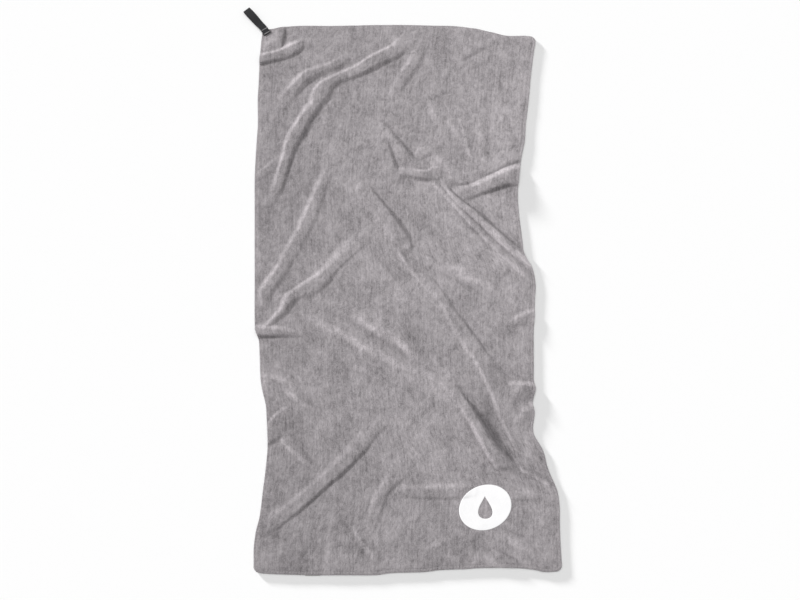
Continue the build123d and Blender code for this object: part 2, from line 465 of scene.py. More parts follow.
-151.6 -305.8 1.43 11.1 12.2 17 6 20 -5

left_low_c
-235.7 -147 1.15 12.6 17.1 12 0 26 -9
-216.3 -150.9 2.3 12.6 17.1 12 0 34 -8
-200.2 -157.7 2.3 12 16.5 8 0 34 -8
-184.6 -168.1 1.14 11.5 16 3 0 26 -10

left_low_d
-194.1 -173.3 1.38 13.3 13.8 25 20 17 -5
-182 -185 3.3 13.4 13.9 25 20 29 -6
-171.7 -194.9 4.33 12.3 12.9 19 14 32 -3
-161.2 -203 3.24 10.6 11.2 6 1 29 -6
-150.8 -211.3 1.35 9.1 9.7 0 0 14 -4

lower_left
-37.9 -235.6 1.48 22.2 15.9 12 57 -1 3
-50.2 -249.9 2.43 19.5 13.1 0 48 -2 5
-62.1 -264.7 3.02 20 13.6 2 50 0 7
-73.6 -279.2 3.19 21 14.6 7 53 0 7
-87.3 -292.6 3.2 20.3 15.1 16 55 0 7
-99.8 -305.7 4.14 18.4 14.5 20 53 3 10
-112.5 -318.6 4.12 16.3 14.2 32 52 3 10
-126.2 -330.6 4.18 14.9 13.4 34 49 4 11
-140.7 -342.8 4.13 15.3 13.8 36 51 4 11
-155.2 -355.7 3.95 15.8 14.3 38 52 4 11
-168.9 -368.2 3.81 15.4 13.9 36 51 4 11
-183.2 -380.4 3.47 15.7 14.2 38 52 3 10
-198.3 -390.7 3.01 16.2 14.7 39 53 1 8
-213.3 -402 2.6 17.1 15.6 43 56 0 7
-230.7 -411.2 1.79 17.2 15.8 43 57 0 5

foot_a
-2.7 -310.1 0.94 21.6 20.6 43 50 1 -1
-13.1 -324.6 1.95 20.3 19.3 40 47 3 -1
-24.6 -337.9 2.98 17.6 16.6 30 38 8 3
-34.9 -351.1 3.46 15.5 14.5 21 29 9 4
-41.1 -364.9 3.27 15.7 14.8 22 30 6 2
-45.9 -378 2.57 16.4 15.4 25 33 2 -2
-51.9 -393.8 1.71 15.1 14.2 19 27 0 -4
-56.5 -409.3 1.28 14.7 13.7 17 25 0 -3
-62.3 -425.5 0.64 14.7 13.7 17 25 0 -2

foot_b
-80.3 -413.7 0.7 11.4 15.8 0 0 24 -9
-68.9 -429.4 1.48 12.5 16.8 6 0 34 -11
-59.1 -441.3 1.59 12.9 17.2 9 0 34 -11
-51.3 -455 0.75 11 15.4 0 0 24 -9

foot_bar
107.8 -354.1 0.68 15.7 13.3 26 48 3 1
92.3 -355.1 1.93 16.9 14.4 31 53 8 3
74.4 -355.5 2.72 16.6 14.2 30 52 14 8
56.6 -355.5 2.84 16.4 14 29 51 15 9
37.1 -355.3 2.72 16 13.4 27 52 14 8
19.3 -354.9 2.61 15.6 12.7 25 53 13 7
1.4 -354.8 2.47 14.7 11.8 20 49 12 6
-12.4 -356.1 1.61 13.4 10.8 13 40 6 1
-22.2 -360.9 0.55 12.6 10 7 35 1 -1

foot_c
159.8 -423 1.04 12.1 13.9 8 0 11 8
172.2 -432.2 2.67 12.5 14.3 11 0 19 15
186.2 -440.4 2.89 12.5 14.3 11 0 20 15
200.3 -447.7 1.03 12.1 13.9 8 0 11 8

foot_d
138.5 -459.6 1.4 18.2 15.6 17 37 21 15
153.5 -467.8 3.21 17.6 15 14 34 31 22
169.4 -475 3.1 16.2 13.6 7 27 30 22

foot_e
62 -437.2 0.78 9.5 10.2 0 0 5 -1
48.5 -443.3 1.57 9.6 10.2 0 0 9 0
33 -449.7 0.77 8.9 9.6 0 0 5 -2

head_a
40.7 460.2 1.59 16 15.4 27 32 10 -3
30.6 438 3.49 15.6 15 25 30 17 -2
19.8 417.6 4 16.3 15.7 28 33 17 -2
8.2 400 3.4 16.4 15.8 29 34 16 -3
-1.9 382.1 2.81 15.7 15.1 26 31 15 -4
-10 362.4 1.26 16 15.5 27 32 8 -2

head_b
160.5 468.9 1.55 17.2 13.8 1 26 -9 16
139.4 457.8 2.52 17.1 13.7 0 25 -8 18
120.4 445.7 2.4 17 13.5 0 24 -8 18
104.2 436.1 1.01 16 12.5 0 18 -7 11

head_c
81.5 323.3 0.88 14.1 14.9 21 15 13 -8
95.5 301.1 1.67 14 14.8 20 14 18 -10
106.8 281.9 1.56 12.8 13.6 13 6 18 -10
115.7 263 0.62 11 11.8 0 0 10 -8

head_d
107.5 310.3 0.85 10.6 12.1 11 0 26 -8
112.9 284.3 1.98 9.8 11.2 4 0 38 -9
118.2 257.9 1.81 8.7 10.1 0 0 37 -10
124.4 238.4 0.65 8.5 9.9 0 0 21 -7

head_e
137.7 317.5 1.41 12.1 13.4 0 0 8 -1
143.2 287.9 3.29 12.7 13.9 4 0 13 0
145 256.5 3.07 13.3 14.6 8 0 12 -1
149.9 233.3 1.09 13 14.2 6 0 6 -1

head_f
55 347.2 1.61 15.4 16.7 5 0 18 -1
62.5 329.2 3.42 16.4 17.7 11 3 25 0
69.9 312.4 1.72 16.4 17.6 10 3 18 -1

cross_edge
163 87.8 0.74 5.9 4.8 0 15 16 1
176.3 73.8 2.2 5.9 4.8 0 15 43 3
193 58.9 3.06 6.3 4.8 0 15 46 6
209.7 46.8 3.3 6.7 4.8 0 15 47 7
226.3 32.9 2.81 6.7 4.7 0 15 45 5

sweep_tail
181.6 -310.8 1.1 6.1 6.3 7 4 23 -2
193.5 -318.9 3.38 6.2 6.4 10 6 52 0
207.1 -326.1 4.42 6.7 6.7 11 10 55 3
221.4 -334.2 4.79 7.2 7.1 12 14 55 3
235.3 -341.8 4.02 6.9 6.7 8 10 53 1

sweep_line
28.4 -142.9 0.54 4.9 4.5 1 10 12 -4
38.3 -150 1.61 4.9 4.5 1 10 30 -8
49.8 -158.8 2.01 4.9 4.5 1 10 32 -6
61.3 -169.3 2.14 4.9 4.5 1 10 32 -6
72.7 -181.5 2.14 4.9 4.5 1 10 32 -6
82.4 -193.7 2.13 4.9 4.5 0 10 32 -6
92.1 -206.6 1.73 4.9 4.5 0 10 31 -7
101.6 -220.4 0.66 4.9 4.5 0 10 15 -5
"""

# Broad areas whose colour is painted a little lighter or darker: x, y, reach, and by how much.
# The dark ones along the sweep fold's far flank are painted shade.
PAINTED_TONE_PATCHES = number_table("""
137 -207 22 -.12   144 -233 20 -.17   155 -256 20 -.16   170 -280 20 -.12
122 -172 24 -.06   -40 -87 84 .05     -4 -200 76 .06     57 -269 67 .06
129 -356 71 .05    55 65 54 .05       -199 180 60 -.1    -249 435 34 .03
88 401 104 -.07    99 -44 76 -.07     137 -188 60 -.07   -171 -398 84 -.03
-100 433 67 -.04   188 430 50 -.04    -217 -76 50 -.03   -231 -443 30 -.06
-170 -463 30 -.03  102 25 15 .09      128 8 13 .08       89 43 11 .05
192 -177 15 .06    192 -221 13 .05    -124 -103 17 .04   -13 -99 13 .05
""", 4)

# Where the edges lie on the table, as x, y pairs: the sides from high y to low y, the ends from
# low x to high x. Left is low x, top is high y.
LEFT = number_table("""
-251 483.6    -253.5 435.4  -254.4 387.1  -255.4 355.6  -254.1 308.3  -255.5 276.8
-256.6 246.2  -257.4 200    -256.3 154.6  -255.1 94.6   -253.7 36.4   -252.8 -7.9
-251.5 -65    -249.5 -78.8  -245.5 -88.7  -243.6 -95.5  -241.8 -121.2 -239.3 -163.5
-233.7 -191.1 -230.1 -204.9 -227.9 -231.5 -225.6 -272.8 -228 -312.2   -232.1 -351.6
-236.2 -391   -242 -416.7   -244.7 -442.3 -244.1 -467.9
""", 2)
RIGHT = number_table("""
242.9 461    238 429.5    233.1 397    227.5 349.7  220.5 302.4  217.6 270.9
210.8 240.3  203.9 194    201.2 164.5  201.9 134    204.2 104.4  206.6 74.9
207.7 60.1   213.7 45.3   221.6 30.5   225.6 1      223 -27.6    221.6 -56.1
218.7 -84.7  216.7 -140.9 215.6 -168.4 218.4 -182.2 214.5 -196   212.3 -209.8
215 -223.6   210.8 -250.2 213.4 -264   221 -277.8   227 -290.6   232.5 -317.2
242.3 -343.8 246.9 -357.6 248.9 -383.2 247.7 -409.8 247.5 -448.2 247.9 -473.8
""", 2)
TOP = number_table("""
-250.2 497.4 -236.4 498.4 -206.8 502.3 -177.3 504.3 -105.4 503.3 -32.5 504.3
25.6 503.3   69 501.4     97.5 500.4   127.1 496.4  140.9 494    155.6 489.5
170.4 485.6  184.2 481.2  199 478.7    227.5 478.7  241.3 476.7
""", 2)
BOTTOM = number_table("""
-242.3 -481.7 -214.7 -484.1 -150.7 -486.6 -98.5 -487.1 -49.2 -487.6 -23.6 -484.6
27.6 -483.6   53.2 -480.7   91.6 -479.7   118.2 -478.2 168.4 -478.7 194 -480.7
206.8 -482.6  218.7 -485.6  231.5 -485.6  244.3 -484.6
""", 2)
CORNER_BL = (-244.4, -481.4)
CORNER_BR = (248.3, -484.6)
CORNER_TL = (-250.2, 497.4)
CORNER_TR = (245.0, 477.0)

# Smooth unevenness: gain, cell size along x and y, shift along x and y, seed.
SOFT_LAYERS = (
    (1.1, 62, 74, 3.1, 1.7, 11),
    (0.75, 27, 33, 9.2, 4.4, 12),
    (0.42, 13.5, 15, 2.0, 8.0, 13),
)
NAP_LAYERS = ((0.16, 7.0, 8.5, 0, 0, 21), (0.10, 4.6, 5.2, 0, 0, 22))


# ---------------------------------------------------------------- curves and noise
def smooth_line(points, step=5.0):
    """A Catmull-Rom curve through rows of numbers whose first two are x and y."""
    points = np.array(points, float)
    rows = np.vstack([2 * points[0] - points[1], points, 2 * points[-1] - points[-2]])
    out = []
    for i in range(1, len(rows) - 2):
        a, b, c, d = rows[i - 1 : i + 3]
        count = max(2, int(np.hypot(*(c - b)[:2]) / step))
        t = np.linspace(0, 1, count, endpoint=False)[:, None]
        square = (2 * a - 5 * b + 4 * c - d) * t**2
        out.append(0.5 * (2 * b + (c - a) * t + square + (3 * b - a - 3 * c + d) * t**3))
    out.append(points[-1:])
    return np.vstack(out)


def smoothstep(t):
    t = np.clip(t, 0, 1)
    return t * t * (3 - 2 * t)


def rounded(t):
    """A quarter circle rising from 0 to 1."""
    return np.sqrt(np.clip(1 - (1 - np.clip(t, 0, 1)) ** 2, 0, 1))


def lattice_noise(x, y, seed):
    """Smooth gradient noise on a unit lattice, about -0.7 to 0.7."""
    rng = np.random.RandomState(seed)
    order = rng.permutation(512)
    angles = rng.uniform(0, 2 * math.pi, 512)
    cell_x, cell_y = np.floor(x).astype(int), np.floor(y).astype(int)
    in_x, in_y = x - cell_x, y - cell_y

    def corner(step_x, step_y):
        angle = angles[(order[(cell_x + step_x) & 511] + (cell_y + step_y)) & 511]
        return np.cos(angle) * (in_x - step_x) + np.sin(angle) * (in_y - step_y)

    def fade(t):
        return t * t * t * (t * (6 * t - 15) + 10)

    mix_x, mix_y = fade(in_x), fade(in_y)
    low = corner(0, 0) * (1 - mix_x) + corner(1, 0) * mix_x
    high = corner(0, 1) * (1 - mix_x) + corner(1, 1) * mix_x
    return low * (1 - mix_y) + high * mix_y


def layered_noise(x, y, layers):
    return sum(
        gain * lattice_noise(x / cell_x + shift_x, y / cell_y + shift_y, seed)
        for gain, cell_x, cell_y, shift_x, shift_y, seed in layers
    )


# ---------------------------------------------------------------- height of the laid cloth
def crease_lines():
    lines = []
    for block in CREASES.strip().split("\n\n"):
        _, stations = block.split("\n", 1)
        table = number_table(stations, 9)
        table[:, 5:] /= 100
        lines.append(smooth_line(table))
    return lines


def edge_profile(points, axis):
    """One laid edge as coordinates along the axis, in rising order, and across it."""
    line = smooth_line(points)
    order = np.argsort(line[:, axis])
    return line[order, axis], line[order, 1 - axis]


CREASE_LINES = crease_lines()
RIGHT_PROFILE = edge_profile(RIGHT, 1)
BOTTOM_PROFILE = edge_profile(BOTTOM, 0)


def crease_height(x, y, line):
    """Height of one fold, a rounded crown between two flanks, and the light and shade painted into
    its
    colour: painted lighter on the flank towards the light, painted darker on the other."""
    height, painted_shading = np.zeros_like(x), np.zeros_like(x)
    margin = line[:, 3:5].max() + 2
    near = (
        (x > line[:, 0].min() - margin)
        & (x < line[:, 0].max() + margin)
        & (y > line[:, 1].min() - margin)
        & (y < line[:, 1].max() + margin)
    )
    near_x, near_y = x[near], y[near]
    nearest = np.full(near_x.shape, 1e9)
    across = np.zeros_like(near_x)
    profile = np.zeros((7, near_x.size))
    for start, stop in zip(line[:-1], line[1:]):
        run_x, run_y = stop[0] - start[0], stop[1] - start[1]
        size = math.hypot(run_x, run_y)
        t = ((near_x - start[0]) * run_x + (near_y - start[1]) * run_y) / size**2
        t = np.clip(t, 0, 1)
        off_x, off_y = near_x - start[0] - t * run_x, near_y - start[1] - t * run_y
        distance = np.hypot(off_x, off_y)
        closer = distance < nearest
        turn = (run_x * off_y - run_y * off_x) / size / np.maximum(distance, 1e-6)
        station = start[2:][:, None] * (1 - t) + stop[2:][:, None] * t
        nearest = np.where(closer, distance, nearest)
        across = np.where(closer, turn, across)
        profile = np.where(closer, station, profile)
    # 0 on the lit side, 1 on the side that falls away
    shade = smoothstep(0.5 + 0.5 * across)
    lift, reach_lit, reach_away, crown_lit, crown_away, painted_lit, painted_away = profile
    reach = reach_lit + (reach_away - reach_lit) * shade
    crown = np.clip(crown_lit + (crown_away - crown_lit) * shade, 0, 0.85)
    # pile here is the amount of painted highlight on the lit flank and painted shade on the far
    # flank
    pile = painted_lit + (painted_away - painted_lit) * shade
    t = nearest / np.maximum(reach, 0.1)
    down = np.clip((t - crown) / (1 - crown), 0, 1)
    sag = 1 - 0.22 * np.clip(t, 0, 1) ** 2
    height[near] = np.maximum(lift, 0) * np.cos(down * math.pi / 2) ** 2 * sag
    # the painted highlight peaks mid-flank; the painted shade on the side away from the light is
    # darkest near the fold's foot
    painted_shading[near] = -across * pile * np.sin(down ** (1 + shade) * math.pi) * (lift > 0)
    return height, painted_shading


def lie(x, y):
    """Height of the cloth's underside above the table at laid points, and its painted light and
    shade.
    """
    total, painted_shading = np.zeros_like(x), np.zeros_like(x)
    for line in CREASE_LINES:
        fold, side = crease_height(x, y, line)
        total += fold**3
        painted_shading += side * fold**3
    painted_shading = painted_shading / np.maximum(total, 1e-9)
    height = np.cbrt(total)
    # a limp cloth is never quite flat between its creases, but calmer under the badge
    badge = np.hypot((x - BADGE_MID[0]) / 47, (y - BADGE_MID[1]) / 41)
    calm = smoothstep((badge - 0.85) / 0.5) * 0.75 + 0.25
    soft = layered_noise(x, y, SOFT_LAYERS)
    # it lies flat at the stitched tail and over the label
    tail = np.hypot(x - TAIL_MID[0], y - TAIL_MID[1])
    label = np.maximum(abs(x - LABEL_MID[0]) - 12, abs(y - LABEL_MID[1]) - 20)
    flat = smoothstep((tail - 13) / 16) * smoothstep(label / 14)
    base = 0.55 + soft * calm
    base = 0.5 * (base + np.sqrt(base**2 + 0.06))
    ripple = 0.35 * soft * calm * np.clip(height / 6, 0, 1)
    height = np.sqrt(height**2 + (base * 0.9) ** 2) + ripple
    # the border lies flatter than the folds that run out over it on the right and at the foot
    inside = np.minimum(np.interp(y, *RIGHT_PROFILE) - x, y - np.interp(x, *BOTTOM_PROFILE))
    ease = 0.3 + 0.7 * smoothstep((inside + 2) / 26)
    height = np.maximum(height, 0.0) * flat * ease
    # a fold's crown sinks under its own weight, so the tallest ones are held down
    firm, give = 8.5, 5.6
    height = np.where(height > firm, firm + give * np.tanh((height - firm) / give), height)
    # patches of painted tone; the dark ones along the sweep fold are painted shade
    for centre_x, centre_y, reach, gain in PAINTED_TONE_PATCHES:
        painted_shading += gain * np.exp(-((x - centre_x) ** 2 + (y - centre_y) ** 2) / reach**2)
    return height, painted_shading


def lie_height(x, y):
    return lie(x, y)[0]


# ---------------------------------------------------------------- from the flat towel to the table
SHARES = np.linspace(0, 1, 2001)


def laid_edge(profile, axis, start, stop):
    """Points at even shares of an edge, eased so that it meets its two corners."""
    along = start[axis] + (stop[axis] - start[axis]) * SHARES
    across = np.interp(along, *profile)
    first, last = across[0], across[-1]
    t = (along - along[0]) / (along[-1] - along[0])
    across = (
        across
        + (start[1 - axis] - first) * (1 - smoothstep(t / 0.03))
        + (stop[1 - axis] - last) * smoothstep((t - 0.97) / 0.03)
    )
    return (across, along) if axis == 1 else (along, across)


LEFT_EDGE = laid_edge(edge_profile(LEFT, 1), 1, CORNER_BL, CORNER_TL)
RIGHT_EDGE = laid_edge(RIGHT_PROFILE, 1, CORNER_BR, CORNER_TR)
BOTTOM_EDGE = laid_edge(BOTTOM_PROFILE, 0, CORNER_BL, CORNER_BR)
TOP_EDGE = laid_edge(edge_profile(TOP, 0), 0, CORNER_TL, CORNER_TR)


def lay(flat_x, flat_y):
    """Laid x, y of a point of the flat towel, which is centred on the origin."""
    u, v = (flat_x + HALF_W) / (2 * HALF_W), (flat_y + HALF_L) / (2 * HALF_L)
    out = []
    for i in (0, 1):
        left, right = (np.interp(v, SHARES, edge[i]) for edge in (LEFT_EDGE, RIGHT_EDGE))
        bottom, top = (np.interp(u, SHARES, edge[i]) for edge in (BOTTOM_EDGE, TOP_EDGE))
        ruled = (1 - u) * left + u * right + (1 - v) * bottom + v * top
        corners = (
            (1 - u) * (1 - v) * CORNER_BL[i]
            + u * (1 - v) * CORNER_BR[i]
            + (1 - u) * v * CORNER_TL[i]
            + u * v * CORNER_TR[i]
        )
        out.append((ruled - corners) * SCALE[i])
    return out


# ---------------------------------------------------------------- mesh helpers
def quads(a, b, c, d):
    return np.stack([a, b, c, d], -1).reshape(-1, 4)


def grid_quads(ids):
    return quads(ids[:-1, :-1], ids[:-1, 1:], ids[1:, 1:], ids[1:, :-1])


def ring_quads(rings, following):
    return quads(rings, np.roll(rings, -1, 1), np.roll(following, -1, 1), following)


def wall_quads(ring, drop):
    """A wall from a closed ring down to the same ring, drop vertices later."""
    following = np.roll(ring, -1)
    return quads(ring, ring + drop, following + drop, following)


def add_mesh(name, verts, faces, flat=None, smooth=True, painted_shading=None):
    """An object in metres; "flat" and the painted light and shade are read by the materials."""
    mesh = bpy.data.meshes.new(name)
    mesh.from_pydata([tuple(vert) for vert in verts], [], faces)
    mesh.validate()
    if flat is not None:
        layer = mesh.attributes.new("flat", "FLOAT_VECTOR", "POINT")
        layer.data.foreach_set("vector", np.asarray(flat, np.float32).ravel())
    if painted_shading is not None:
        layer = mesh.attributes.new("painted_shading", "FLOAT", "POINT")
        layer.data.foreach_set("value", np.asarray(painted_shading, np.float32).ravel())
    mesh.polygons.foreach_set("use_smooth", [smooth] * len(mesh.polygons))
    mesh.update()
    obj = bpy.data.objects.new(name, mesh)
    bpy.context.scene.collection.objects.link(obj)
    return obj


def tube(points, normals, radius, sides, closed):
    """A round thread along points, with its first side turned to the given normals."""
    if closed:
        tangent = np.roll(points, -1, 0) - np.roll(points, 1, 0)
    else:
        tangent = np.gradient(points, axis=0)
    tangent /= np.maximum(np.linalg.norm(tangent, axis=1, keepdims=True), 1e-9)
    side = np.cross(tangent, normals)
    side /= np.maximum(np.linalg.norm(side, axis=1, keepdims=True), 1e-9)
    up = np.cross(side, tangent)
    angle = (2 * math.pi * np.arange(sides) / sides)[None, :, None]
    around = np.cos(angle) * up[:, None, :] + np.sin(angle) * side[:, None, :]
    rings = points[:, None, :] + radius * around
    ids = np.arange(len(points) * sides).reshape(-1, sides)
    following = np.roll(ids, -1, 0) if closed else ids[1:]
    faces = ring_quads(ids if closed else ids[:-1], following)[:, ::-1].tolist()
    if not closed:
        faces += [ids[0].tolist(), ids[-1][::-1].tolist()]
    return rings.reshape(-1, 3), faces


# ---------------------------------------------------------------- plan of the hang loop's tape
# s runs along the tape from the hinge; near the stitches its heading bends by TAPE_BEND
TAPE_BEND = math.radians(8.0)
TAPE_S = np.linspace(-16.5, 3.0, 400)
TAPE_HEADING = (
    math.atan2(LOOP_DIR[1], LOOP_DIR[0]) - TAPE_BEND * smoothstep((1.5 - TAPE_S) / 5.0)
)


def tape_centre(axis, direction):
    back = np.cumsum(direction(TAPE_HEADING[::-1])) * (TAPE_S[1] - TAPE_S[0])
    return HINGE[axis] + 3.0 * LOOP_DIR[axis] - (back - back[0])[::-1]


TAPE_X, TAPE_Y = tape_centre(0, np.cos), tape_centre(1, np.sin)


def tape_plan(s, across):
    """Plan position of a point of the tape: s along it from the hinge, and across it."""
    inner = np.clip(s, TAPE_S[0], TAPE_S[-1])
    heading = np.interp(inner, TAPE_S, TAPE_HEADING)
    over = np.maximum(s - TAPE_S[-1], 0)
    x = np.interp(inner, TAPE_S, TAPE_X) + over * LOOP_DIR[0] + across * np.sin(heading)
    y = np.interp(inner, TAPE_S, TAPE_Y) + over * LOOP_DIR[1] - across * np.cos(heading)
    return x, y


# ---------------------------------------------------------------- the cloth
def edge_distance(flat_x, flat_y):
    """Distance in from the rounded rectangle's edge."""
    past_x, past_y = abs(flat_x) - (HALF_W - CORNER_R), abs(flat_y) - (HALF_L - CORNER_R)
    corner = np.hypot(np.maximum(past_x, 0), np.maximum(past_y, 0))
    return CORNER_R - corner - np.minimum(np.maximum(past_x, past_y), 0)


def half_thickness(inset):
    """Half the cloth's thickness: squeezed under the border's thread, full pile further in."""
    rim = 0.98
    inset = np.maximum(inset, 0)
    return rim * rounded(inset / 1.3) + (PILE / 2 - rim) * smoothstep((inset - 4.3) / 3.0)


def cell_lines(total, cell=2.0):
    """Distances along one direction: fine at both edges, even between, an even cell count."""
    lead = [0, 0.5, 1.3, 2.6, 4.2, 5.6, 7.2, 9.2]
    inner = total - 2 * lead[-1]
    count = int(round(inner / cell))
    count += count % 2
    middle = lead[-1] + inner * np.arange(1, count) / count
    return np.concatenate([lead, middle, [total - value for value in lead[::-1]]])


def underside_faces(below, top_ids):
    """Double-size cells that take in the top grid's rim vertices between their corners."""
    count_y, count_x = below.shape[0] - 1, below.shape[1] - 1
    faces = []
    for j in range(count_y):
        for i in range(count_x):
            ring = [below[j, i]]
            if i == 0:
                ring.append(top_ids[2 * j + 1, 0])
            ring.append(below[j + 1, i])
            if j == count_y - 1:
                ring.append(top_ids[-1, 2 * i + 1])
            ring.append(below[j + 1, i + 1])
            if i == count_x - 1:
                ring.append(top_ids[2 * j + 1, -1])
            ring.append(below[j, i + 1])
            if j == 0:
                ring.append(top_ids[0, 2 * i + 1])
            faces.append([int(k) for k in ring])
    return faces


def build_cloth():
    columns, rows = cell_lines(2 * HALF_W), cell_lines(2 * HALF_L)
    row_y = rows - HALF_L
    cut = np.maximum(abs(row_y) - (HALF_L - CORNER_R), 0)
    half = HALF_W - CORNER_R + np.sqrt(np.maximum(CORNER_R**2 - cut**2, 0))
    flat_x = (columns[None, :] - HALF_W) * half[:, None] / HALF_W
    flat_y = np.repeat(row_y[:, None], len(columns), 1)
    x, y = lay(flat_x, flat_y)
    height, painted_shading = lie(x, y)
    inset = edge_distance(flat_x, flat_y)
    thick = half_thickness(inset)
    thick[[0, -1], :] = 0
    thick[:, [0, -1]] = 0
    # the pile is pressed down under the stitched tail of the loop
    to_tape = np.full(x.shape, 1e9)
    for tape_x, tape_y in zip(*tape_plan(np.linspace(-15, 2, 9), np.zeros(9))):
        to_tape = np.minimum(to_tape, np.hypot(x - tape_x, y - tape_y))
    press = 1.15 * TAIL_SINK * smoothstep((9.0 - to_tape) / 3.2)
    nap = layered_noise(x, y, NAP_LAYERS) * np.clip((inset - 4) / 4, 0, 1)
    top_z = height + PILE / 2 + thick + nap - press * np.clip(thick, 0, 1)
    top_ids = np.arange(x.size).reshape(x.shape)

    # underside at half the resolution, sharing the rim's vertices
    inner = np.ix_(np.arange(2, len(rows) - 1, 2), np.arange(2, len(columns) - 1, 2))
    under_x, under_y = x[inner], y[inner]
    beyond_label = np.maximum(
        abs(under_x - LABEL_MID[0]) - 13.5, abs(under_y - LABEL_MID[1]) - 21.5
    )
    seat = smoothstep(1 - beyond_label / 4.0)
    under_z = np.maximum(height[inner] + PILE / 2 - thick[inner], 0) + 0.5 * seat
    below = top_ids[::2, ::2].copy()
    below[1:-1, 1:-1] = top_ids.size + np.arange(under_x.size).reshape(under_x.shape)

    def stacked(*parts):
        return np.stack(parts, -1).reshape(-1, 3)

    verts = np.vstack([stacked(x, y, top_z), stacked(under_x, under_y, under_z)])
    # the underside's flat coordinates lie at another depth, so its texture differs
    flat = np.vstack([
        stacked(flat_x, flat_y, np.zeros_like(flat_x)),
        stacked(flat_x[inner], flat_y[inner], np.full_like(under_x, 40.0)),
    ])
    faces = grid_quads(top_ids).tolist() + underside_faces(below, top_ids)
    # the underside carries the painted light and shade, reversed
    painted_shading = np.concatenate([painted_shading.ravel(), -painted_shading[inner].ravel()])
    return add_mesh("towel_cloth", verts * MM, faces, flat * MM, painted_shading=painted_shading)


# ---------------------------------------------------------------- the overlocked border
CORNER_ARC = math.pi * CORNER_R / 2
# straight side and corner in turn, starting with the low y side
EDGE_RUNS = (2 * HALF_W - 2 * CORNER_R, CORNER_ARC, 2 * HALF_L - 2 * CORNER_R, CORNER_ARC) * 2
PERIMETER = sum(EDGE_RUNS)


def along_edge(place):
    """Flat point and inward normal at distances along the edge, from the low x, low y corner."""
    point, inward = np.zeros((len(place), 2)), np.zeros((len(place), 2))
    centres = np.array([(1, -1), (1, 1), (-1, 1), (-1, -1)]) * (
        HALF_W - CORNER_R,
        HALF_L - CORNER_R,
    )
    starts = np.concatenate([[0], np.cumsum(EDGE_RUNS)])
    for k, (step_x, step_y) in enumerate([(1, 0), (0, 1), (-1, 0), (0, -1)]):
        normal = np.array([-step_y, step_x])
        s = place - starts[2 * k]
        on = (s >= 0) & (s < EDGE_RUNS[2 * k] + 1e-9)
        side_start = centres[k - 1] - CORNER_R * normal
        point[on] = side_start + np.array([step_x, step_y]) * s[on, None]
        inward[on] = normal
        s = place - starts[2 * k + 1]
        on = (s >= 0) & (s < CORNER_ARC)
        angle = -math.pi / 2 + k * math.pi / 2 + s[on] / CORNER_R
        outward = np.stack([np.cos(angle), np.sin(angle)], 1)
        point[on] = centres[k] + CORNER_R * outward
        inward[on] = -outward
    return point.T, inward.T


def build_overlock():
    turns = 1240
    # one turn of thread: distance in from the edge, height from mid-thickness
    over = np.array([(4.6, 0.98), (3.4, 1.17), (2.1, 1.2), (0.9, 1.08), (-0.05, 0.62)])
    wrap = np.vstack([over, [(-0.22, 0.0)], (over * (1, -1))[::-1]])
    count = turns * len(wrap)
    rng = np.random.RandomState(5)
    inset, rise = np.tile(wrap, (turns, 1)).T
    # the inner ends of the stitches are uneven
    inset = inset + np.repeat(rng.uniform(-0.25, 0.25, turns), len(wrap)) * (abs(inset) > 4)
    (edge_x, edge_y), (in_x, in_y) = along_edge(np.arange(count) / count * PERIMETER)
    flat_x, flat_y = edge_x + in_x * inset, edge_y + in_y * inset
    x, y = lay(flat_x, flat_y)
    z = np.maximum(lie_height(x, y) + PILE / 2 + rise, 0.26)
    points = np.stack([x, y, z], 1)
    core_x, core_y = lay(edge_x + in_x * 2.2, edge_y + in_y * 2.2)
    core = np.stack([core_x, core_y, lie_height(core_x, core_y) + PILE / 2], 1)
    sides = 5
    verts, faces = tube(points, points - core, radius=0.3, sides=sides, closed=True)
    flat = np.repeat(np.stack([flat_x, flat_y, rise], 1), sides, 0)
    return add_mesh("overlock_thread", verts * MM, faces, flat * MM)


